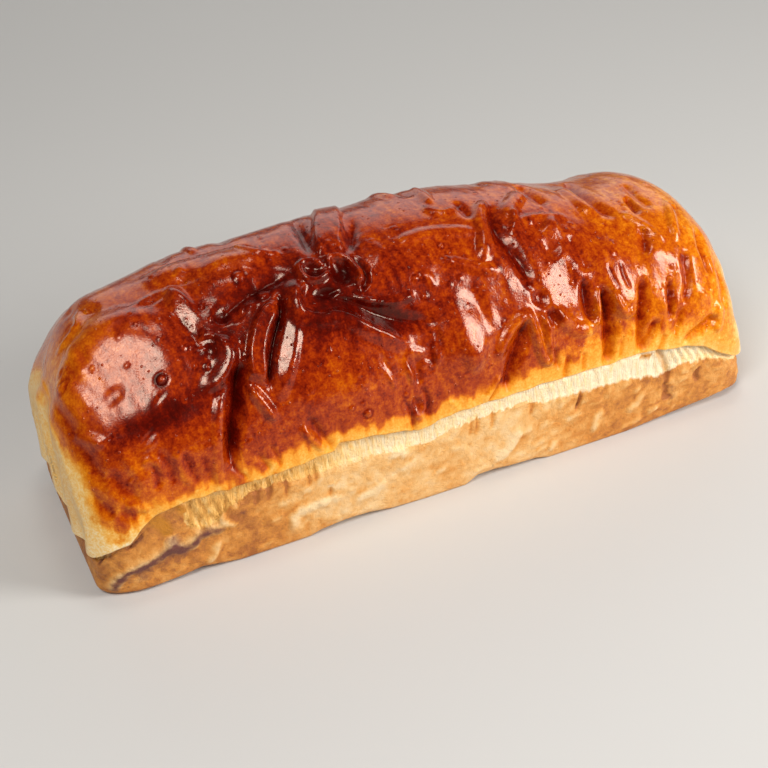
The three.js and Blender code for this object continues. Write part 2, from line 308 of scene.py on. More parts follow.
def swelling(u, s, along, round_, rise, painted_shade=0.0):
    """A low bulge with a level top, or a hollow where the rise is negative; painted shade is laid over it by
    the given amount.
    """
    d = np.hypot((U - u) / along, (S - s) / round_)
    shape = soft((1 - d) / 0.8)
    height[:] += rise * shape
    shade[:] += painted_shade * shape


def facet(u, s, wide, tall, tilt_u, tilt_s, turn=0.0, dish=0.0):
    """A spot where the skin was pulled flat and lies tilted, by a rise per millimetre along u and s."""
    du, ds = U - u, S - s
    across = (du * math.cos(turn) + ds * math.sin(turn)) / wide
    along = (ds * math.cos(turn) - du * math.sin(turn)) / tall
    flat = tilt_u * du + tilt_s * ds + ds * ds / (2 * DOUGH_ROUND) + dish * du * du
    height[:] += flat * soft((1.45 - np.hypot(across, along)) / 0.9)


def bubble(u, s, r, rise):
    """A gas blister under the skin: a small dome with a sunken rim, with painted shade round the rim and a
    painted highlight on top.
    """
    d = np.hypot(U - u, S - s) / r
    height[:] += rise * (np.sqrt(np.maximum(1 - d * d, 0)) - 0.35 * np.exp(-(((d - 1.25) / 0.3) ** 2)))
    shade[:] += 0.45 * rise * np.exp(-(((d - 1.2) / 0.35) ** 2))
    crest_highlight[:] += 0.3 * rise * np.maximum(1 - d * d, 0)


LEFT, RIGHT = 1, -1  # the sides of a line, seen the way it runs

# broad swells of the crumb under the skin
for swell in (
    (-76, 142, 24, 13, 2.4), (-42, 84, 34, 28, 1.4), (-2, 121, 24, 18, 1.6), (17, 80, 20, 24, 2.6),
    (80, 116, 16, 26, 1.2), (98, 92, 15, 26, 2.2), (124, 112, 26, 36, 1.6), (-112, 76, 22, 20, 1.8),
    (20, 186, 40, 32, 1.6), (-90, 190, 32, 36, 2.4), (116, 200, 40, 36, 1), (-60, 232, 40, 30, 2.2),
    (40, 228, 40, 30, 2.2), (-162, 172, 28, 50, -4.5), (106, 172, 30, 38, -2.6), (68, 176, 20, 24, 1.3),
):
    swelling(*swell)

# left shoulder: facets of the blistered bulge, the brow under it, and streaks down to the corner
facet(-133, 116, 22, 25, 0.02, 0.13, dish=0.006)
facet(-112, 144, 8, 2.8, -0.08, 0.32, turn=0.15)
facet(-121, 97.3, 4.4, 1.7, 0.17, -0.2, turn=0.45)
facet(-130.5, 83, 4.6, 2.4, 0.14, -0.36, turn=0.7)
facet(-148.3, 96.5, 1.7, 4.6, -0.1, -0.12, turn=0.3)
facet(-154, 93, 1.6, 3.6, -0.2, -0.1, turn=0.5)
swelling(-146, 131, 5, 6, -0.7, painted_shade=0.12)
swelling(-128, 134, 6, 4, -0.6, painted_shade=0.12)
swelling(-139, 108, 6.5, 5, -0.7, painted_shade=0.055)
gully(9, 0.7, (-146, 94), (-138, 91.5), (-129, 89.5), (-119, 90), (-110, 93.5), painted_shade=0.22)
ridge(2.3, 0.8, (-136, 73), (-133.5, 75.5), (-130.5, 72.5), (-129.5, 67))
gully(3.5, 1.6, (-133, 73), (-131.6, 68), (-132.3, 60))
ridge(2.6, 1.2, (-157, 106), (-151.5, 99), (-147, 92))
gully(5.4, 1.3, (-160, 132), (-157, 112), (-154, 92), (-150, 74))
ridge(3.0, 0.8, (-156, 136), (-153, 118), (-151, 106))
gully(4.6, 1.4, (-149, 82), (-145.5, 71), (-141, 60))
ridge(2.7, 0.8, (-143, 86), (-140, 75), (-137, 64))
gully(4.0, 1.0, (-128, 79), (-126, 70), (-125, 59))
gully(4.2, 1.1, (-119, 74), (-117, 64), (-115, 55))
ridge(2.7, 0.8, (-122, 76), (-121, 66), (-119, 57))
gully(3.7, 1.0, (-111, 70), (-110, 60), (-109, 53))
gully(4.6, 1.6, (-158, 80), (-154, 70), (-150.5, 61))
gully(4.6, 1.5, (-149, 63), (-145, 56), (-140, 51))
ridge(2.7, 1.0, (-146, 64), (-142, 57), (-137, 52))
ridge(2.2, 0.8, (-152, 128), (-149.5, 118), (-147.5, 107))
ridge(2.2, 0.7, (-148, 146), (-146.5, 134), (-146, 122))

# the leaf, the curled lip, and the long gully with its banks
facet(-100, 129, 4.6, 14, 0.22, 0.3, turn=0.08)
ridge(1.7, 1.4, (-99.3, 115), (-95, 116.4), (-91.5, 113.6), (-89, 109))
lap(8, 2.6, LEFT, (-92, 115), (-88.6, 110.5), (-87.4, 105.5), (-90, 100.5), (-96, 96),
    (-104.5, 93.5), painted_shade=0.1)
swelling(-96.5, 109, 5, 4.2, -1.2, painted_shade=0.2)
facet(-94, 150, 2.4, 3.4, 0.1, 0.5)
gully(6.5, 7.5, (-84.5, 101), (-87.5, 95), (-90, 89), (-92.6, 82), (-95.6, 75), (-98, 67),
      (-99.5, 55), ends=0.2, painted_shade=0.6)
ridge(3.4, 1.2, (-96.5, 92), (-100, 84), (-103, 75), (-105, 64), (-106, 51))

# upper left: the crest under the skyline with its folded ear, and the valley that leads to the pinch
ridge(9, 2.6, (-112, 158), (-98, 155.5), (-86, 153.5), (-74, 151), (-64, 146.5), (-56, 139.5))
ridge(2.2, 1.8, (-67.5, 159), (-66, 153.5), (-62, 148), (-58, 144.7), (-53.5, 144.3), (-51.5, 142))
gully(2.6, 2.6, (-64, 157), (-61, 151.3), (-57, 147), painted_shade=0.4)
gully(9, 3.6, (-90, 120.5), (-82, 124), (-73, 127.5), (-62, 130), (-50, 130.5), painted_shade=0.3)
swelling(-86, 121, 5, 4, -1.4, painted_shade=0.35)
facet(-77, 120.5, 5, 3, 0.22, 0.16, turn=0.35)

# the tube fold, the narrow gully behind it, its bright bank and its leg
band(4.6, 3.0, (-61.5, 117), (-66.5, 116), (-70.5, 112.6), (-74.5, 107), (-77.5, 100.8), (-78.7, 95),
     (-81.5, 90), ends=0.15)
gully(3.2, 5.6, (-60, 123), (-60.6, 117), (-63.6, 111), (-67.6, 104.7), (-71.2, 98), (-74, 91.5),
      (-76.4, 84.5), painted_shade=0.5)
facet(-62.5, 104, 5, 19, 0.28, -0.14, turn=-0.42)
ridge(3.2, 2.4, (-84.5, 90), (-81.8, 84), (-79.2, 78.5), (-76.5, 72))
gully(4.5, 2.6, (-63, 71), (-60, 64), (-57, 57), (-54, 51.5))
ridge(2.6, 1.5, (-67, 67), (-62, 59), (-58, 53))
gully(2.6, 1.6, (-82, 64), (-79.5, 57), (-78.5, 51))
gully(2.4, 1.4, (-88, 62), (-85.5, 56), (-83.5, 51))
gully(2.4, 1.4, (-99, 60), (-97, 55), (-94, 51))

# the pinch: two small pursed lips over a dark pocket, and the strap that climbs over the crown
ridge(2.3, 3.0, (-36, 129.5), (-39.5, 132.4), (-43.5, 133.8), (-46.8, 132.3), (-47.4, 128.5),
      (-45.6, 125), (-42, 123.2), (-38, 124.2), (-35.3, 126.6), ends=0.1)
swelling(-41.8, 128.5, 5, 4.4, -1.4, painted_shade=0.34)
ridge(2.3, 3.4, (-34.6, 128), (-33.4, 131.7), (-30.5, 132), (-27.5, 130.6), (-25.4, 128.4),
      (-23.9, 124.8), (-22.8, 121.3), (-23.6, 118.3), (-26.2, 116.2), ends=0.1)
gully(2.6, 2.6, (-24, 132.5), (-21.3, 127), (-19.8, 121.5), (-21.3, 116), (-26, 112.8), painted_shade=0.5)
swelling(-30, 123.5, 6.5, 8, -3.0, painted_shade=0.62)
swelling(-40, 116.5, 7, 3.4, -1.8, painted_shade=0.7)
gully(8, 3.2, (-48, 118), (-40, 115.6), (-33, 111.5), (-26, 105.6), (-19, 100.6), (-10, 96),
      (-1, 92.6), (8, 90), painted_shade=0.15, ends=0.35)
gully(14, 2.0, (-28, 106), (-17, 99), (-6, 94.5), (8, 91), painted_shade=0.1, ends=0.4)
ridge(2.0, 1.2, (-39.5, 116), (-32, 113), (-26, 109.6), (-20.5, 106.6))
ridge(2.4, 1.6, (-30, 111.6), (-20, 107), (-10, 104.6), (-1, 105.8))
lap(8, 3.0, LEFT, (-45.5, 124.5), (-51, 121.5), (-53.6, 116), (-52, 110.4), (-46, 107),
    (-39, 106), (-33, 102.6), (-27, 97.8), (-18, 91.4), (-8, 84.5), ends=0.15, lean=0.4, painted_shade=0.06)
band(7.5, 2.2, (-30.5, 134), (-29.5, 142), (-26, 150), (-22.5, 158), (-19, 168), (-16, 184), ends=0.12)
gully(6.5, 4.4, (-39.5, 134), (-38.6, 143), (-37.2, 152), (-35.4, 163), (-34, 178), painted_shade=0.3, ends=0.5)
gully(6.5, 4.2, (-24, 130), (-20.5, 137.5), (-16.4, 146), (-10.5, 157), painted_shade=0.3, ends=0.5)
facet(-15.5, 128, 6, 8, 0.17, -0.03, turn=-0.4)

# middle: the small creases under the sweep and the torn flap at the edge
facet(-23.2, 78, 1.5, 6.5, -0.22, -0.3, turn=0.22)
facet(-12.6, 76, 1.5, 5, -0.2, -0.32, turn=-0.05)
ridge(2.4, 1.0, (-12.7, 70), (-13.3, 77.5), (-10.6, 82.3), (-7, 81.4), (-3.6, 79.4))
facet(-4.6, 77.6, 2, 2.2, -0.15, -0.3)
gully(2.9, 1.6, (-8.3, 80), (-9.4, 74), (-9.6, 68), painted_shade=0.17)
gully(2.9, 2.2, (-10, 68), (-7.7, 63.6), (-6.6, 58.5), (-7.4, 53), (-7.6, 46), painted_shade=0.39, ends=0.28)
gully(2.7, 2.0, (-17.5, 64), (-15.6, 57), (-15.3, 50), (-15.6, 45), painted_shade=0.33, ends=0.28)
swelling(-12, 60, 3.8, 4.8, -1.8, painted_shade=0.22)
lap(2.6, 1.0, LEFT, (-15, 55.6), (-12, 54.2), (-9, 54.6))
facet(2, 81.5, 1.9, 6.5, -0.2, -0.3, turn=-0.25)
gully(3.4, 0.9, (-0.8, 74), (-0.9, 80), (-0.2, 86))
facet(20.5, 86, 7, 15, -0.14, -0.18, turn=-0.2)
ridge(4.6, 1.4, (-2, 131.5), (12, 133.5), (26, 131.5), (38, 128))
ridge(3.8, 1.4, (13, 118.5), (22, 115), (32, 109.6), (41, 108))
ridge(3.0, 0.8, (2, 114), (6.5, 111), (8, 105.5))
lap(4.4, 1.6, LEFT, (21, 153), (24, 147.8), (29, 145), (34.5, 147))
gully(5.0, 2.0, (36.4, 152), (37, 145), (37.6, 137), painted_shade=0.25)
ridge(3.0, 1.5, (26, 152), (27, 163), (27, 180))

# right of the middle: the long trough from the crown, its bright banks and the hook at its foot
ridge(5, 2.6, (33, 111), (37.6, 120), (40.8, 128), (43, 136), (46.5, 143.6), (51.5, 148.8))
gully(8, 4.6, (54, 149), (49.6, 141.5), (47, 133), (47.2, 125), (49.6, 116.5), (52.2, 108.5), (53, 101),
      (52, 94), painted_shade=0.35, ends=0.25)
facet(54, 120, 3, 16, 0.12, 0.1, turn=-0.3)
facet(71, 120.5, 4.5, 10, 0.04, 0.34, turn=-0.42)
swelling(55.5, 91.5, 5, 6, -1.6, painted_shade=0.35)
facet(66.5, 94, 7, 17, -0.08, -0.08, turn=-0.3)
ridge(5, 2.0, (61, 86), (65, 79), (70, 74), (76, 73), (80, 77))
gully(5, 4.0, (79.5, 98), (78.4, 90), (77.6, 82), (78.6, 76), painted_shade=0.5)
ridge(2.6, 2.0, (79.6, 73.3), (82.3, 79.5), (84, 86), (85.8, 92), ends=0.1)
gully(6.5, 6.0, (86.3, 94), (87.6, 83.5), (87.1, 74), (86.1, 65), (85, 57), (82.2, 48), painted_shade=0.6, ends=0.15)
lap(7, 1.8, LEFT, (59, 131), (66, 134), (75, 134.6), (85, 134))
ridge(5, 2.2, (57, 133), (59, 141), (65, 148), (73, 155))
gully(7, 3.4, (76, 166), (77, 154), (80, 144), painted_shade=0.15)
gully(8, 2.4, (79, 122), (81.5, 110), (82.5, 100), painted_shade=0.15)

# the hollows and arches above the cap edge, close together towards the right end
ridge(3.6, 2.4, (28.6, 68), (32.4, 75), (37.4, 80.4), (43, 84), (48.5, 86))
gully(6, 4.6, (47, 83), (42.7, 76.4), (38.7, 70), (35.3, 63.5), (33, 57), (31.8, 50), painted_shade=0.45, ends=0.2)
ridge(3, 2.4, (47.5, 89), (48.6, 80.5), (49.6, 72.4), (50.8, 65.4), (53, 61.4), (55.2, 63.5), (54.8, 70.5),
      (55.6, 78), (54.4, 85.5), ends=0.1)
swelling(59.5, 82, 4.6, 6, -2.2, painted_shade=0.35)
gully(3.4, 2.4, (57.3, 68), (57.8, 63), (58.8, 55), painted_shade=0.35)
facet(96.5, 97, 9.5, 17, -0.06, 0.03)
ridge(3, 1.6, (90.5, 88), (92.5, 80), (96.5, 75.5), (101, 78))
gully(2.0, 0.7, (99, 103), (98.5, 96), (100, 88), painted_shade=0.4)
gully(1.8, 0.6, (92.5, 103), (93, 96), (95, 88), painted_shade=0.4)
gully(5.5, 4.8, (108.2, 94), (106.2, 84), (104.2, 75), (102.4, 64.5), (100.4, 50), painted_shade=0.6, ends=0.2)
gully(5, 3.6, (111.5, 70), (107.6, 62.6), (104.6, 57), (100.8, 50.6), painted_shade=0.5)
facet(118.5, 91, 8.5, 17, -0.06, 0.03)
gully(3.6, 3.6, (122, 88), (120.6, 83), (119.4, 75), (118, 66), painted_shade=0.5)
gully(4.4, 3.0, (133.5, 104), (131.5, 94), (130.5, 84), (126, 73), painted_shade=0.35)
gully(5, 2.6, (117, 120), (115.6, 112), (112.6, 104), painted_shade=0.3)
facet(138, 88, 5.5, 13, -0.05, 0.0, turn=-0.1)
gully(7, 3.4, (108, 180), (104.8, 162), (103.6, 148), (104.6, 138), (108, 128), painted_shade=0.3)
ridge(5, 1.8, (98, 164), (97.6, 147), (98.6, 131))
gully(4, 3.4, (122, 145), (121.3, 137.5), (120.6, 129), painted_shade=0.5)
ridge(3, 1.6, (112, 133), (119, 121), (126.4, 108.5))
ridge(3, 1.8, (139.8, 140), (136.6, 128), (133.3, 118), (131.6, 108))
gully(5, 2.0, (128, 156), (127, 143), (129, 131), painted_shade=0.15)
gully(4.6, 3.4, (148.6, 121), (145.6, 110), (144, 101), (144.6, 88), painted_shade=0.4)
gully(6, 3.8, (143.5, 66), (137.6, 59), (131, 53.5), (123, 48), painted_shade=0.35)
gully(3, 1.6, (124.8, 73), (122, 65), (119.2, 56), painted_shade=0.25)
ridge(3, 1.4, (146.4, 76), (143.6, 64), (141.2, 52))
gully(4.6, 2.0, (152, 104), (151, 88), (148, 70), painted_shade=0.3)
ridge(2, 1.0, (29.6, 61.6), (24.6, 55.6), (19.4, 49.6))
gully(2.4, 1.4, (31, 60.5), (26, 54.5), (21.5, 48), painted_shade=0.35)
gully(2.8, 1.8, (64.4, 62.5), (62.2, 55), (60.8, 48), painted_shade=0.4)
gully(2.8, 1.4, (72.5, 62), (71.5, 55), (71, 49), painted_shade=0.3)
gully(2.8, 1.2, (92.5, 64), (91.5, 57), (90, 50), painted_shade=0.3)
gully(3.2, 1.6, (114, 60), (112.5, 53), (110, 48), painted_shade=0.3)
ridge(1.8, 1.0, (3, 57), (6, 53), (6.5, 49))

# crown and left top: folds that cross the skyline
gully(8.4, 2.0, (-142, 180), (-141, 166), (-138, 157), (-130, 151), painted_shade=0.055)
ridge(2.6, 1.4, (-154, 152), (-146, 150), (-141, 154), (-140, 166))
for depth, *places in (
    (1.7, (58, 186), (59, 166)), (1.7, (80, 186), (77, 168)), (1.6, (-68, 184), (-69, 164)),
    (1.4, (-96, 184), (-97, 166)), (1.7, (16, 188), (22, 164)),
):
    gully(6.2, depth, *places, painted_shade=0.055)
ridge(3.0, 1.4, (-84, 186), (-83, 164))
ridge(4.0, 1.4, (8, 188), (14, 166))

# the back was out of sight: the same kinds of fold, placed by a seeded draw, fanning to both ends
draw = np.random.default_rng(41)
BACK_FOLDS = 34
for i in range(BACK_FOLDS):
    u = -150 + 300 * (i + draw.uniform(0.1, 0.9)) / BACK_FOLDS
    start = draw.uniform(180, 218)
    length = draw.uniform(26, 62)
    lean = 0.22 * u / HALF + draw.uniform(-0.12, 0.12)
    bend = draw.uniform(-4, 4)
    reach = lean * length
    way = [(u, start), (u + reach / 2 + bend, start + length / 2), (u + reach, start + length)]
    way = [(u, min(s, BACK_EDGE - 4)) for u, s in way]
    kind = draw.integers(0, 3)
    if kind == 0:
        gully(draw.uniform(6, 11), draw.uniform(2.0, 3.6), *way)
    elif kind == 1:
        ridge(draw.uniform(4, 7), draw.uniform(1.2, 2.0), *way)
    else:
        lap(draw.uniform(8, 12), draw.uniform(1.4, 2.4), draw.choice([LEFT, RIGHT]), *way)

# blisters that stand out singly, then smaller ones scattered where the crust got hottest
for blister in (
    (-119, 105, 2.0, 1.5), (-153.5, 127, 2.1, 0.9), (-99, 103, 1.4, 0.8), (-66, 125.5, 2.8, 0.8),
    (-73, 137, 2.4, 0.6), (18, 125, 1.3, 0.9), (-36, 63.5, 1.7, 0.9), (142, 135, 1.8, 1.0),
    (-43, 68, 1.1, 0.6), (0.5, 112, 1.3, 0.7), (-101, 112, 1.1, 0.6), (52.5, 98, 1.2, 0.8),
    (122, 89.5, 1.5, 0.9), (2.5, 103.5, 1.4, 0.7), (65, 131.5, 1.1, 0.6),
):
    bubble(*blister)
SMALL_BLISTERS = 150
for i in range(SMALL_BLISTERS):
    bubble(draw.uniform(-158, 145), draw.uniform(64, 158), draw.uniform(0.9, 1.4), draw.uniform(0.25, 0.55))

# ----------------------------------------
# Crumple and flutes: uneven lumps all over the crust, shallow folds hung from the crown over the
# back and the ends, and fine ones above the cap edge, where the skin was stretched over the rim.


def uneven(places, size, octaves=3):
    """Fractal noise about 0, with lumps of about the given size in millimetres."""
    flat = places.reshape(-1, places.shape[-1]) / size
    values = [noise.fractal(Vector(p), 1.0, 2.0, octaves) for p in flat]
    return np.array(values).reshape(places.shape[:-1])


def drawn_out(across, along, octaves=3, lean=0.0):
    """Noise drawn out along s into streaks of the given width and length."""
    places = np.stack([(U + lean * (S - EDGE)) / across, S / along, 0 * U], axis=-1)
    return uneven(places, 1.0, octaves)


def side_flutes(u, s):
    """Shallow hanging folds of two widths that fan out and wander, on the long sides."""
    fan = u - 0.0016 * u * (TOP - s)
    drift = 5 * np.sin(s / 19 + u / 37) + 3 * np.sin(s / 9 - u / 23)
    wide = np.sin((fan + drift) / 6.1 + 1.2 * np.sin(u / 29))
    fine = np.sin((fan - drift) / 3.4 + 0.9 * np.sin(s / 15))
    return 1.7 * wide * np.abs(wide) + 0.6 * fine


def end_flutes(y, z):
    """The same on an end, where they gather towards the top."""
    fan = y * (1 + 0.004 * (70 - z))
    drift = 4 * np.sin(z / 13 + y / 21) + 2 * np.sin(z / 7)
    return 1.5 * np.sin((fan + drift) / 5.4 + 0.8) + 0.5 * np.sin((fan - drift) / 3.1)


# where a place lies, each from 0 to 1: on the cap, round a corner, on an end, on the back; and how far
# in millimetres it is above the cap's edge
LIP = 1.6
cap = np.minimum(soft((S - LOW + LIP / 2) / LIP), soft((HIGH + LIP / 2 - S) / LIP))
corner = soft((np.abs(U) - 138) / 14) * soft((186 - np.abs(U)) / 14)
end = soft((np.abs(U) - 150) / 16)
back = soft((S - 168) / 20)
hanging = soft((S - 182) / 26)
rise = np.where(S < TOP, S - LOW, HIGH - S)
over_hem = soft((rise - 6) / 16)

hung = np.maximum(hanging, 0.1) * (1 - end) * side_flutes(U, S)
hung += end * end_flutes(smooth[..., 1], smooth[..., 2])
hem_fan = U + rise * 0.35 * (-U / 120)
hem_folds = np.sin(hem_fan / 1.9 + 2.2 * np.sin(U / 17)) * np.sin(U / 9.5 + 0.6)
hem_folds *= np.exp(-((rise - 4) / 12) ** 2)
broad_lumps = uneven(smooth, 24, 2)
lumps = uneven(smooth, 8, 3)
wrinkles = uneven(smooth, 3.2, 2)
streaks = drawn_out(2.6, 22, 3, lean=0.12)
height *= 1 - soft((np.abs(U) - 172) / 14)
height += (1 - 0.5 * corner) * hung + 0.4 * (1 - end) * hem_folds
height += over_hem * (0.35 * broad_lumps + 0.12 * lumps + 0.05 * wrinkles) + 0.08 * (1 - end) * streaks
cap_relief = height * cap

# ----------------------------------------
# The edge of the cap and the tin-baked walls. The cap overhangs most at the left, the band under
# it is the pale dough that tore open as the loaf sprang, and the wall below took the flat of the
# tin, with flakes, stretch marks and one burnt crease at the lower left.
OVERHANG = [
    (-165, 2.0), (-150, 2.2), (-60, 2.4), (-35, 2.6), (-20, 1.6), (0, 0.8), (95, 0.7), (115, 1.4), (165, 1.8),
]
BACK_OVERHANG = 1.8
BAND_FOOT = [
    (-165, 36), (-128, 36), (-118, 28), (-108, 29), (-104, 35), (-97, 37), (-93, 40.5), (-78, 40.5),
    (-68, 37), (-60, 38.5), (-45, 37), (-30, 38.5), (-22, 36), (-10, 35), (0, 37), (8, 39.5), (20, 40),
    (40, 41), (50, 38), (100, 34), (116, 31), (125, 33), (145, 33), (165, 30),
]
BACK_BAND, END_BAND = 7.0, 6.0  # how wide the band is where it was out of sight
overhang = np.interp(U, *zip(*OVERHANG)) * (1 - back) + BACK_OVERHANG * back
wall = (1 - cap) * soft((P - 2) / 6)
hem = np.where(S < TOP, LOW, BACK_FOOT - HIGH)
foot_of_band = np.interp(U, *zip(*BAND_FOOT)) * (1 - back) + (hem - BACK_BAND) * back
foot_of_band = foot_of_band * (1 - end) + (hem - END_BAND) * end
ragged = 1.2 * lumps + 1.6 * drawn_out(1.6, 9, 2)
softness = np.interp(U, [-100, 44, 60, 170], [1.2, 1.2, 7, 5])
torn = (1 - cap) * soft((P - foot_of_band + ragged) / softness + 0.5)
torn *= 1 - (1 - back) * soft((-122 - U) / 4) * (1 - end)
band_hollow = -torn * (0.5 + 0.5 * overhang)
fibres = drawn_out(1.25, 14, 3, lean=0.15)
plates = np.abs(uneven(smooth, 9, 3))
leather = uneven(smooth * [1, 1, 1.5], 2.6, 3)
wall_relief = wall * (torn * 0.3 * fibres + (1 - torn) * (0.9 * np.minimum(plates, 0.5) + 0.32 * leather))

# the folds so far lie on the cap; those that follow lie on the walls, so the drawing starts afresh
shade_of_cap, crest_highlight_of_cap = shade, crest_highlight
height, shade, crest_highlight = (np.zeros_like(U) for _ in range(3))

# stretched folds of the torn band: curved ones at the left, close upright ones along the right
lap(3.6, 1.5, LEFT, (-124, 49), (-122, 38), (-118, 27))
lap(3.6, 1.5, LEFT, (-119, 49), (-116.5, 38), (-112.5, 27))
lap(3.4, 1.3, LEFT, (-114, 46), (-111, 36), (-106, 28), (-100, 24))
lap(2.6, 1.3, LEFT, (-109, 42), (-107, 36), (-106, 29))
lap(3.0, 0.9, LEFT, (-104, 44), (-102, 38), (-99, 33))
for u in (-91, -85, -77, -66, -63, 13, 16, 24, 44):
    gully(2.4, 0.9, (u, 43), (u + 0.5, 37), (u - 0.5, 31))
FOLDS, CORNER_FOLDS = 15, 7
for i in range(FOLDS):
    u = 50 + 4.3 * i + draw.uniform(-1, 1)
    lap(3.4, draw.uniform(0.2, 0.6), RIGHT, (u - 3, 49), (u, 41), (u + 1, draw.uniform(28, 34)), painted_shade=0.05)
gully(2.6, 2.2, (109, 49), (113, 42), (116.5, 35), (117, 28), (115, 20))
gully(2.0, 1.8, (70, 37), (69.5, 31), (67.5, 26))
gully(3.4, 1.8, (118, 24), (117, 17), (121, 15))
gully(2.6, 1.6, (136, 30), (133, 24), (136, 19))
for i in range(CORNER_FOLDS):
    u = 119 + 4.2 * i
    lap(2.2, 0.9, RIGHT, (u - 2, 46 - 0.8 * i), (u + 2, 39 - 0.6 * i), (u + 5, 33 - 0.4 * i))

# flakes of the tin-baked skin that lifted at their rims
lap(6, 1.2, LEFT, (-77, 7), (-75.5, 15), (-74.5, 19.5), (-66, 21), (-57, 22), (-49, 19))
gully(1.6, 0.8, (-57, 22), (-56, 29))
lap(6, 1.2, RIGHT, (24, 11), (30, 13), (35, 18), (37.5, 23), (37.5, 28))
lap(5, 1.0, LEFT, (78, 8), (78, 15), (80, 20), (83, 22))
lap(5, 1.1, RIGHT, (-117, 5), (-112, 12), (-110, 19))
lap(4, 0.8, LEFT, (54, 6), (57, 13))
lap(5, 1.0, LEFT, (95, 15), (100, 19), (105, 25))
lap(5, 1.0, RIGHT, (108, 9), (113, 13))
lap(5, 1.0, LEFT, (-46, 16), (-38, 18), (-30, 21))
lap(5, 0.9, RIGHT, (-28, 34), (-22, 35), (-20, 31))
FLAKES = 36
for i in range(FLAKES):
    u = draw.uniform(-110, 150)
    s = draw.uniform(5, 33)
    turn = draw.uniform(-0.5, 0.9)
    length = draw.uniform(4, 9)
    way = [(u, s), (u + length * 0.5, s + turn * 2), (u + length, s + turn * length * 0.6)]
    lap(draw.uniform(2.4, 4), draw.uniform(0.4, 0.8), draw.choice([LEFT, RIGHT]), *way)

# the burnt crease: the panel over it laps down on the one below
BURN = [
    (-157, 3), (-156, 9), (-154, 15), (-150, 19.5), (-142, 20), (-136, 21), (-132, 22), (-127, 20.5),
    (-122, 21), (-119, 24.5), (-113, 25.5), (-105, 24),
]
lap(8, 1.5, RIGHT, *BURN, ends=0.08)
gully(2.6, 0.8, *BURN, ends=0.08)
ridge(4.5, 1.0, (-131, 21), (-131.5, 27), (-132, 31))
gully(2.0, 1.4, (-150, 36), (-146, 37), (-142, 40))
UNDER_LOBES = [(-163.5, 29), (-160.5, 36), (-157.5, 43), (-153, 42.5), (-148, 40), (-143, 46), (-137, 47.5)]
gully(1.6, 1.4, *UNDER_LOBES, ends=0.06)
wall_fold_height = height * wall

# the foot does not meet the board evenly everywhere along the front
FOOT_LIFT = [
    (-165, 1), (-140, 1.5), (-128, 2.2), (-119, 3.6), (-108, 1.5), (-100, 0.3), (-68, 0.3), (-62, 2),
    (-50, 3.2), (-38, 2.8), (-27, 0.8), (-10, 0), (11, 0), (17, 3.6), (26, 3.8), (34, 2.6), (48, 2),
    (55, 0), (98, 0), (110, 1.2), (130, 3), (147, 4.5), (160, 3),
]
foot_lift = np.interp(U, *zip(*FOOT_LIFT)) * (1 - back) * (1 - end) * soft((11 - np.abs(P)) / 11)

# ----------------------------------------
# The skin: the flat sheet is laid over the dough, pushed in and out by the relief and joined
# along the base and at both ends into one closed body.


def unit(vectors):
    """The vectors, each made 1 long."""
    return vectors / np.maximum(np.linalg.norm(vectors, axis=-1, keepdims=True), 1e-9)


def outward(points):
    """Normals of the sheet's points, from the neighbours along and round the loaf."""
    looped = np.concatenate([points[:, -2:-1], points, points[:, 1:2]], axis=1)
    return unit(np.cross(np.gradient(points, axis=0), np.gradient(looped, axis=1)[:, 1:-1]))


EASE = 1.2  # millimetres


def held_within(values, low, high):
    """Eases the values off over the last EASE, so that none passes low or high."""
    over = EASE * np.tanh(np.maximum(values - high + EASE, 0) / EASE)
    under = EASE * np.tanh(np.maximum(low + EASE - values, 0) / EASE)
    return np.clip(values, low + EASE, high - EASE) + over - under


STEP = 0.4  # the skin's directions come from places this far apart on each side, in millimetres
along = unit(dough(U + STEP, S) - dough(U - STEP, S))
round_ = unit(dough(U, S + STEP) - dough(U, S - STEP))
normal = unit(np.cross(along, round_))
points = smooth + normal * (cap_relief + cap * overhang + band_hollow + wall_relief)[..., None]
points += (along * slide_u[..., None] + round_ * slide_s[..., None]) * cap[..., None]

# the lip of the cap droops over the torn band
points[..., 2] -= 0.4 * overhang * np.exp(-((rise - 0.8) / 1.6) ** 2) * (1 - end)
points += outward(points) * wall_fold_height[..., None]

# the loaf stands where the solid does, flat on its base and no larger than the solid
SINK = 0.6  # how much of the rounded foot is cut off flat
STAND = (1.5, -0.3)
points[..., 2] = np.maximum(points[..., 2] - SINK + foot_lift, 0)
points[..., :2] += STAND
for axis, low in enumerate((cad_low[0] / MM, cad_low[1] / MM, -math.inf)):
    points[..., axis] = held_within(points[..., axis], low, cad_high[axis] / MM)

sheet = bmesh.new()
bmesh.ops.create_grid(sheet, x_segments=len(COLUMNS) - 1, y_segments=len(ROWS) - 1, size=1.0)
place = []
for vert in sheet.verts:
    i = round((vert.co.x + 1) / 2 * (len(COLUMNS) - 1))
    j = round((vert.co.y + 1) / 2 * (len(ROWS) - 1))
    place.append((i, j))
    vert.co = Vector(points[i, j]) * MM

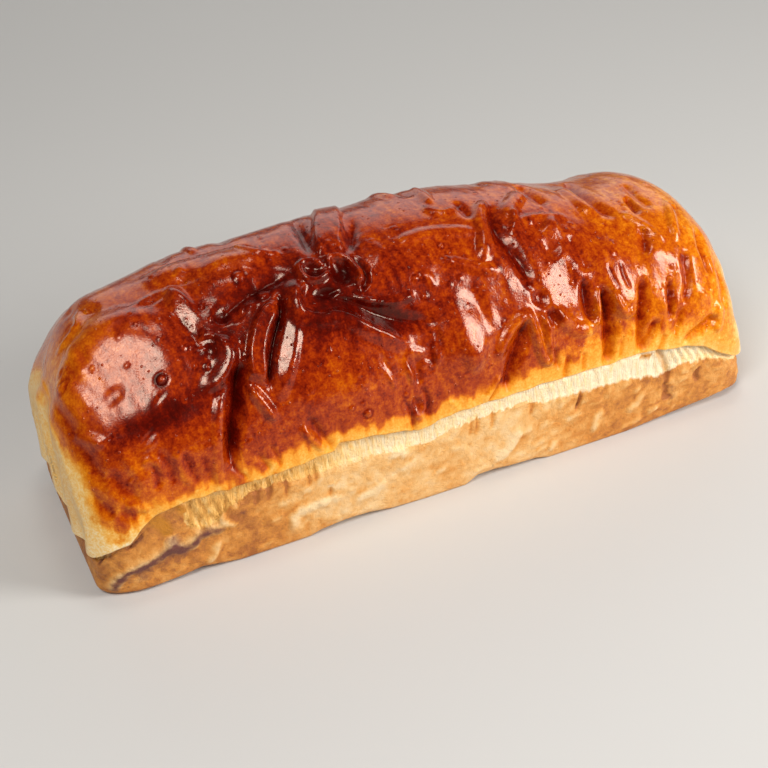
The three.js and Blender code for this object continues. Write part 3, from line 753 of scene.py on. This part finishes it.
# How brown each place baked, from 0 for pale crumb to 1 for black. The hem above the lip was
# shaded by the tin's rim and had little egg wash; the wash begins along an uneven line above it.
WASH_LINE = [
    (-165, 16), (-150, 13), (-142, 8), (-130, 5), (-98, 5), (-92, 9), (-78, 9), (-64, 11), (-56, 7),
    (-50, 5), (-30, 6), (0, 8), (40, 9), (60, 13), (80, 17), (120, 19), (150, 20), (165, 18),
]
WASH_EDGE = [(-165, 12), (-100, 11), (-60, 8), (-50, 5), (40, 4), (60, 7), (90, 12), (165, 14)]
wash_start = np.interp(U, *zip(*WASH_LINE)) * (1 - end) + 20 * end + 8 * back
wash_blur = np.interp(U, *zip(*WASH_EDGE))
drips = drawn_out(2.2, 16, 3)
uneven_line = 0.5 + 0.3 * drips + 1.0 * lumps
browned = soft((rise - wash_start + wash_blur * uneven_line) / wash_blur)
washed = soft((rise - 9 - 8 * end - 8 * back + 5 * uneven_line) / 6)
BAKE_OF_HEM = [(0, 0.17), (3, 0.22), (16, 0.32), (40, 0.40)]
BAKE_UP_THE_SIDE = [
    (50, 0.51), (60, 0.56), (75, 0.59), (90, 0.62), (110, 0.655), (130, 0.64), (152, 0.58), (200, 0.54),
    (240, 0.46),
]
BAKE_ALONG = [
    (-165, -0.12), (-150, -0.03), (-120, 0.02), (-60, 0.03), (0, 0.045), (30, 0.02), (60, -0.02),
    (100, -0.05), (130, -0.08), (150, -0.20), (168, -0.40),
]
hem_bake = np.interp(rise, *zip(*BAKE_OF_HEM)) - 0.03 * soft((U - 60) / 60) - 0.14 * soft((-138 - U) / 12)
bake_and_fold_shade = hem_bake + browned * (np.interp(S, *zip(*BAKE_UP_THE_SIDE)) - hem_bake)
bake_and_fold_shade += browned * np.interp(U, *zip(*BAKE_ALONG))

# spots that the oven caught more or less: where along and round, how wide and tall, how much browner.
# The narrow ones at the brow, round the pinch and beside the gullies are painted shade that deepens the
# folds.
SCORCHED_AND_FOLD_SHADE = [
    (-152, 142, 22, 24, -0.13), (-130, 90, 24, 8, 0.13), (-128, 70, 26, 14, -0.03), (-90, 116, 16, 26, 0.09),
    (-50, 122, 30, 20, 0.04), (-40, 80, 26, 16, -0.03), (-18, 98, 24, 9, 0.07), (-60, 98, 12, 22, 0.07),
    (18, 132, 20, 20, -0.04), (30, 76, 24, 22, -0.02), (52, 122, 9, 30, 0.05), (76, 108, 14, 26, 0.05),
    (124, 128, 34, 36, -0.11), (96, 78, 30, 18, -0.05), (150, 96, 14, 50, -0.09), (-160, 84, 12, 60, -0.10),
    (-36, 150, 24, 16, 0.05), (-112, 120, 24, 24, 0.02), (-80, 66, 22, 12, 0.04), (-37, 115, 14, 12, 0.14),
    (-19, 101, 17, 7, 0.05), (-112, 91, 15, 7, 0.10), (-94, 108, 9, 14, 0.03), (-52, 131, 16, 7, 0.10),
    (-68, 102, 9, 16, 0.03), (-36, 104, 20, 8, 0.05),
]
for u, s, wide, tall, amount in SCORCHED_AND_FOLD_SHADE:
    bake_and_fold_shade += amount * np.exp(-(((U - u) / wide) ** 2) - ((S - s) / tall) ** 2) * browned
blotches = uneven(smooth, 13, 4)
mottling = uneven(smooth, 4.2, 3)
bake_and_fold_shade += browned * (0.04 * blotches + 0.06 * mottling) + (0.03 + 0.045 * browned) * streaks + 0.03 * drips

# low on the ends the crust stayed cream-coloured and dull, as other loaves stood close to them
CREAM = 0.07
stood = smooth[..., 2]
end_start = 153 + 9 * soft((stood - 48) / 45)
end_face = soft((np.abs(U) - end_start + 4 * lumps) / 9)
end_face *= 1 - soft((stood - 70 + 8 * lumps + 5 * drips) / 30)
bake_and_fold_shade += end_face * (CREAM - bake_and_fold_shade) * 0.9

# the wash is also duller over the blistered left shoulder and down in the creases
washed *= 1 - 0.8 * end_face
washed *= 1 - 0.45 * np.exp(-(((U + 136) / 24) ** 2) - ((S - 117) / 28) ** 2)
washed *= 1 - 0.3 * soft((shade_of_cap - 0.2) / 0.4)

# The wall's tones: tanned more towards both ends, with the burnt crease, the amber that ran from the
# cap's corners and the brown lines where panels meet under the hanging lobes at the lower left, which are
# partly painted shadow of the lobes.
# the torn crumb's tone along u; its darker values from the left end to about u -35, where the lip overhangs
# most, are partly painted shadow of the lip over the crumb's own tone
TORN_TONES_AND_LIP_SHADOW = [
    (-165, 0.6), (-125, 0.85), (-65, 0.8), (-50, 0.55), (-28, 0.25), (0, 0.25), (50, 0.15), (112, 0.05),
    (145, 0.3), (165, 0.5),
]
tan = 0.34 + 0.48 * soft((-50 - U) / 45) + 0.42 * soft((U - 35) / 60) + 0.20 * blotches + 0.16 * mottling
# darker in the low gaps between the plates; by the height of the wall's folds and flakes, raised ones are
# painted lighter and creases darker: painted light and shade
tan += 0.6 * np.maximum(0.12 - plates, 0) - 0.4 * wall_fold_height
crumb_and_lip_shadow = np.interp(U, *zip(*TORN_TONES_AND_LIP_SHADOW)) + 0.35 * fibres + 0.15 * mottling


def along_line(half, *places, ends=0.1):
    """How near each point is to a line, from 0 to 1."""
    found, off, done = near_way(places, half, narrow=0.3)[:3]
    near = np.zeros_like(U)
    near[found] = np.exp(-3 * off ** 2) * (off < 1.6) * taper(done, ends)
    return near


def stained(*lines):
    """Stains along several lines: how strong, half how wide, and the places each one runs through."""
    return sum(strength * along_line(half, *places) for strength, half, *places in lines)


# the line under the hanging lobes is partly a brown line where panels meet and partly painted shadow of the
# lobes
burn_and_lobe_shadow = 0.8 * along_line(4.6, *BURN, ends=0.06) + stained(
    (0.7, 6.5, (-131, 20), (-130.5, 26), (-130, 31)),
    (0.25, 9.0, (-154, 12), (-144, 15), (-133, 17), (-124, 18)),
    (0.7, 1.6, *UNDER_LOBES), (0.6, 3.0, (-150, 37), (-146, 38), (-143, 36)),
    (0.5, 1.6, (-98.5, 31.5), (-98, 30), (-97, 29)), (0.5, 1.5, (24, 10), (24.5, 8.5), (25, 7)),
    (0.3, 5, (-146, 20), (-145, 15), (-144, 9)), (0.35, 5, (120, 22), (120, 18), (121, 13)),
)
amber = stained(
    (1, 5.5, (-139, 48), (-136, 42), (-133, 36), (-131, 30)), (0.8, 4.5, (-127, 48), (-125, 44), (-123, 40)),
    (0.8, 4.5, (101, 46), (105, 45), (108, 43)), (0.6, 4, (110, 46), (114, 39), (117, 30)),
    (0.5, 5, (-118, 27), (-111, 25), (-103, 23)),
)


def lay(name, values):
    """Writes a value for each place on the sheet, for the materials to read."""
    layer = sheet.verts.layers.float.new(name)
    sheet.verts.ensure_lookup_table()
    for vert, (i, j) in zip(sheet.verts, place):
        vert[layer] = float(values[i, j])


for name, values in {
    "cap": cap, "bake_and_fold_shade": bake_and_fold_shade, "washed": washed, "tan": tan, "torn": torn, "crumb_and_lip_shadow": crumb_and_lip_shadow,
    "shade": np.clip(shade_of_cap * cap + shade * (1 - cap), 0, 1),
    "crest_highlight": np.clip(crest_highlight_of_cap * cap + crest_highlight * (1 - cap), 0, 1),
    "burn_and_lobe_shadow": np.clip(burn_and_lobe_shadow, 0, 1) * (1 - cap), "amber": np.clip(amber, 0, 1) * (1 - cap),
}.items():
    lay(name, values)

# the two long rims of the sheet meet along the base, and the narrow slots at the ends are filled
bmesh.ops.remove_doubles(sheet, verts=sheet.verts, dist=0.001 * MM)
rims = [edge for edge in sheet.edges if edge.is_boundary]
bmesh.ops.holes_fill(sheet, edges=rims, sides=0)
ends = [face for face in sheet.faces if len(face.verts) > 4]
bmesh.ops.triangulate(sheet, faces=ends, quad_method="BEAUTY", ngon_method="BEAUTY")
bmesh.ops.recalc_face_normals(sheet, faces=sheet.faces)
GLAZED, SIDE = 0, 1  # the two finishes, in the order they go on the mesh below
CRUST_STARTS = 0.45
cap_layer = sheet.verts.layers.float["cap"]
for face in sheet.faces:
    face.smooth = True
    on_cap = sum(vert[cap_layer] for vert in face.verts) / len(face.verts)
    face.material_index = GLAZED if on_cap > CRUST_STARTS else SIDE

loaf_mesh = bpy.data.meshes.new("loaf_skin")
sheet.to_mesh(loaf_mesh)
sheet.free()
loaf = bpy.data.objects.new("loaf_skin", loaf_mesh)
bpy.context.scene.collection.objects.link(loaf)
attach(loaf, "root")
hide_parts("loaf")

# ----------------------------------------
# Glazed crust: enriched dough brushed with egg and baked hard at the top of the oven. It gives a
# thin glossy film over red-brown, mottled skin, amber near the tin's rim, with painted shade that makes the
# creases nearly black.


def linear(hex_colour):
    """A colour written as an sRGB hex value, in Blender's linear values."""
    parts = [int(hex_colour[i:i + 2], 16) / 255 for i in (1, 3, 5)]
    return tuple(c / 12.92 if c <= 0.04045 else ((c + 0.055) / 1.055) ** 2.4 for c in parts) + (1.0,)


def add(tree, kind, inputs=None, stops=None, **own):
    """Adds a node. Each input is a value, an output, or a node whose first output it takes; stops fill
    a colour ramp."""
    node = tree.nodes.new("ShaderNode" + kind)
    for name, value in own.items():
        setattr(node, name, value)
    for name, value in (inputs or {}).items():
        if isinstance(value, bpy.types.Node):
            value = value.outputs[0]
        if isinstance(value, bpy.types.NodeSocket):
            tree.links.new(value, node.inputs[name])
        else:
            node.inputs[name].default_value = value
    for i, (position, colour) in enumerate(stops or []):
        slots = node.color_ramp.elements
        slot = slots[i] if i < len(slots) else slots.new(position)
        slot.position = position
        slot.color = linear(colour) if isinstance(colour, str) else (colour, colour, colour, 1.0)
    return node


glaze = bpy.data.materials.new("egg_glazed_crust")
glaze.use_nodes = True
tree = glaze.node_tree
tree.nodes.clear()
here = add(tree, "TexCoord").outputs["Object"]
bake_and_fold_shade, washed, shade, crest_highlight = (
    add(tree, "Attribute", attribute_name=name).outputs["Fac"]
    for name in ("bake_and_fold_shade", "washed", "shade", "crest_highlight")
)

# the browning is uneven down to spots of a millimetre or less; painted shade darkens the creases and a
# painted highlight makes the folds paler
spots = add(tree, "TexNoise", {"Vector": here, "Scale": 1 / (2.4 * MM), "Detail": 4.0, "Roughness": 0.6})
specks = add(tree, "TexNoise", {"Vector": here, "Scale": 1 / (0.9 * MM), "Detail": 2.0})
uneven_spots = add(tree, "Math", {0: spots, 1: 0.5}, operation="SUBTRACT")
uneven_specks = add(tree, "Math", {0: specks, 1: 0.5}, operation="SUBTRACT")
strength = add(tree, "Math", {0: washed, 1: 0.28, 2: 0.14}, operation="MULTIPLY_ADD")
brown = bake_and_fold_shade
for cause, amount in ((uneven_spots, strength), (uneven_specks, 0.24), (shade, 0.40), (crest_highlight, -0.07)):
    brown = add(tree, "Math", {0: cause, 1: amount, 2: brown}, operation="MULTIPLY_ADD")
colour = add(tree, "ValToRGB", {"Fac": brown}, stops=[
    (0.0, "#f8e6bc"), (0.12, "#f3bf66"), (0.22, "#ea9f36"), (0.32, "#dc8114"), (0.42, "#c86406"),
    (0.52, "#b04903"), (0.60, "#9c3303"), (0.68, "#842002"), (0.78, "#600c01"), (0.88, "#480601"),
    (1.0, "#360301"),
])

# gas blisters under the glaze, half a millimetre to a millimetre across, in about one cell of four
cells = add(tree, "TexVoronoi", {"Vector": here, "Scale": 1 / (3.2 * MM), "Randomness": 1.0})
chosen = add(tree, "ValToRGB", {"Fac": cells.outputs["Color"]}, stops=[(0.56, 0.0), (0.62, 1.0)])
dome = add(tree, "ValToRGB", {"Fac": cells.outputs["Distance"]}, stops=[(0.0, 1.0), (0.12, 0.6), (0.2, 0.0)])
blisters = add(tree, "Math", {0: chosen, 1: dome}, operation="MULTIPLY")
blisters = add(tree, "Math", {0: blisters, 1: washed}, operation="MULTIPLY")
grain = add(tree, "Bump", {"Height": specks, "Strength": 0.6, "Distance": 0.12 * MM})
bump = add(tree, "Bump", {"Height": blisters, "Strength": 0.9, "Distance": 0.5 * MM, "Normal": grain})

# the film of egg is glossy where it was brushed on thickly, and uneven like the browning; a pocket
# between folds mirrors little of the room, so the specular level is turned down along the painted shade:
# painted shade on the reflection
gloss = add(tree, "MapRange", {"Value": washed, "To Min": 0.40, "To Max": 0.17})
gloss = add(tree, "Math", {0: uneven_spots, 1: 0.14, 2: gloss}, operation="MULTIPLY_ADD")
mirroring = add(tree, "MapRange", {"Value": shade, "From Max": 0.6, "To Min": 0.5, "To Max": 0.06})
shader = add(tree, "BsdfPrincipled", {
    "Base Color": colour, "Roughness": gloss, "IOR": 1.45, "Specular IOR Level": mirroring,
    "Specular Tint": linear("#ffe6cf"), "Normal": bump,
})
add(tree, "OutputMaterial", {"Surface": shader})
loaf_mesh.materials.append(glaze)

# ----------------------------------------
# Tin-baked side crust and torn band: thin matt golden skin that took the tin's face, and soft
# cream-coloured crumb drawn out in upright fibres where the loaf sprang above the rim.
side = bpy.data.materials.new("tin_baked_side_crust")
side.use_nodes = True
tree = side.node_tree
tree.nodes.clear()
here = add(tree, "TexCoord").outputs["Object"]
tan, torn, crumb_and_lip_shadow, burn_and_lobe_shadow, amber, shade, crest_highlight = (
    add(tree, "Attribute", attribute_name=name).outputs["Fac"]
    for name in ("tan", "torn", "crumb_and_lip_shadow", "burn_and_lobe_shadow", "amber", "shade", "crest_highlight")
)
upright = add(tree, "Mapping", {"Vector": here, "Scale": (1.0, 1.0, 0.16)})
mottle = add(tree, "TexNoise", {"Vector": here, "Scale": 1 / (3.0 * MM), "Detail": 5.0, "Roughness": 0.62})
pores = add(tree, "TexNoise", {"Vector": here, "Scale": 1 / (0.9 * MM), "Detail": 3.0, "Roughness": 0.65})
strands = add(tree, "TexNoise", {"Vector": upright, "Scale": 1 / (0.8 * MM), "Detail": 3.0})
uneven_mottle, uneven_pores, uneven_strands = (
    add(tree, "Math", {0: pattern, 1: 0.5}, operation="SUBTRACT") for pattern in (mottle, pores, strands)
)

# the golden skin and the pale torn crumb, each with its own tones; both take painted shade in creases, and
# the skin a painted highlight on folds
tone = tan
for cause, amount in ((uneven_mottle, 0.5), (uneven_pores, 0.25), (shade, 0.5), (crest_highlight, -0.2)):
    tone = add(tree, "Math", {0: cause, 1: amount, 2: tone}, operation="MULTIPLY_ADD")
baked = add(tree, "ValToRGB", {"Fac": tone}, stops=[
    (0.0, "#eecb98"), (0.35, "#e7b26e"), (0.55, "#dd9c50"), (0.75, "#cf8534"), (1.0, "#a66026"),
])
tone = crumb_and_lip_shadow
for cause, amount in ((uneven_strands, 0.35), (shade, 0.6)):
    tone = add(tree, "Math", {0: cause, 1: amount, 2: tone}, operation="MULTIPLY_ADD")
stretched = add(tree, "ValToRGB", {"Fac": tone}, stops=[
    (0.0, "#f4e0bc"), (0.3, "#f6d6a0"), (0.6, "#f6ca82"), (0.85, "#eab05a"), (1.0, "#c98d3e"),
])

# crumb, amber runs and burnt creases lie over the skin, each with a ragged edge
colour = baked.outputs["Color"]
for where, raggedness, start, full, over in (
    (torn, 0.5, 0.3, 0.6, stretched),
    (amber, 0.6, 0.2, 0.75, linear("#c07a1a")),
    (burn_and_lobe_shadow, 1.1, 0.12, 0.85, linear("#6e3c32")),
):
    ragged = add(tree, "Math", {0: uneven_mottle, 1: raggedness, 2: where}, operation="MULTIPLY_ADD")
    covered = add(tree, "MapRange", {"Value": ragged, "From Min": start, "From Max": full})
    colour = add(tree, "Mix", {"Factor": covered, 6: colour, 7: over}, data_type="RGBA").outputs[2]

grain = add(tree, "Math", {0: pores, 1: 0.5, 2: mottle}, operation="MULTIPLY_ADD")
grain = add(tree, "Math", {0: strands, 1: torn, 2: grain}, operation="MULTIPLY_ADD")
bump = add(tree, "Bump", {"Height": grain, "Strength": 0.8, "Distance": 0.9 * MM})
shader = add(tree, "BsdfPrincipled", {"Base Color": colour, "Roughness": 0.58, "IOR": 1.45, "Normal": bump})
add(tree, "OutputMaterial", {"Surface": shader})
loaf_mesh.materials.append(side)

# ----------------------------------------
# A plain pale floor under the loaf.
FLOOR_REACH = 4.0
ground = bmesh.new()
bmesh.ops.create_grid(ground, x_segments=1, y_segments=1, size=FLOOR_REACH)
floor_mesh = bpy.data.meshes.new("floor")
ground.to_mesh(floor_mesh)
ground.free()
floor = bpy.data.objects.new("floor", floor_mesh)
bpy.context.scene.collection.objects.link(floor)
paper = bpy.data.materials.new("pale_floor")
paper.use_nodes = True
paper.node_tree.nodes.clear()
shader = add(paper.node_tree, "BsdfPrincipled", {"Base Color": linear("#c9c6c1"), "Roughness": 0.9})
add(paper.node_tree, "OutputMaterial", {"Surface": shader})
floor_mesh.materials.append(paper)

# ----------------------------------------
# Soft studio light: one softbox high at the front left, one at the front right, a wide panel
# behind that glances off the crown, a little light from above and a dim even surround.


MIDDLE = Vector((0, 0, 0.07))  # of the loaf, which every lamp faces


def softbox(name, at, size, power):
    """An area lamp: where it hangs and how wide and tall it is, in metres, and its watts."""
    lamp = bpy.data.lights.new(name, "AREA")
    lamp.shape = "RECTANGLE"
    lamp.size, lamp.size_y = size
    lamp.energy = power
    holder = bpy.data.objects.new(name, lamp)
    holder.location = at
    holder.rotation_euler = (MIDDLE - Vector(at)).to_track_quat("-Z", "Y").to_euler()
    bpy.context.scene.collection.objects.link(holder)


softbox("front_left_softbox", (-0.49, -0.63, 1.02), (0.44, 0.32), 10)
softbox("front_right_softbox", (0.88, -0.80, 0.56), (0.40, 0.58), 16.5)
softbox("back_panel", (0.50, 1.23, 0.70), (2.0, 0.9), 7)
softbox("overhead_panel", (0.03, -0.05, 1.3), (0.26, 0.22), 2)
SURROUND = 0.06
world = bpy.data.worlds.new("studio_surround")
world.use_nodes = True
world.node_tree.nodes["Background"].inputs["Color"].default_value = linear("#ffffff")
world.node_tree.nodes["Background"].inputs["Strength"].default_value = SURROUND
bpy.context.scene.world = world
bpy.context.scene.view_settings.view_transform = "Standard"

# ----------------------------------------
# The camera stands front left of the loaf and above it, rolled a little, as in the photograph.
AIM = Vector((-5.4 + STAND[0], STAND[1], 30.4)) * MM
DISTANCE = 771.5 * MM
YAW, PITCH, ROLL = 0.351, 0.609, -0.094  # radians
LENS, SENSOR = 75.0, 36.0  # millimetres
ahead = Vector((math.sin(YAW) * math.cos(PITCH), math.cos(YAW) * math.cos(PITCH), -math.sin(PITCH)))
level = Vector((math.cos(YAW), -math.sin(YAW), 0))
upward = level.cross(ahead)
right = level * math.cos(ROLL) + upward * math.sin(ROLL)
above = upward * math.cos(ROLL) - level * math.sin(ROLL)
camera = bpy.data.objects.new("camera", bpy.data.cameras.new("camera"))
camera.data.lens = LENS
camera.data.sensor_width = SENSOR
camera.matrix_world = Matrix((
    (right.x, above.x, -ahead.x, 0), (right.y, above.y, -ahead.y, 0),
    (right.z, above.z, -ahead.z, 0), (0, 0, 0, 1),
))
camera.location = AIM - ahead * DISTANCE
bpy.context.scene.collection.objects.link(camera)
bpy.context.scene.camera = camera
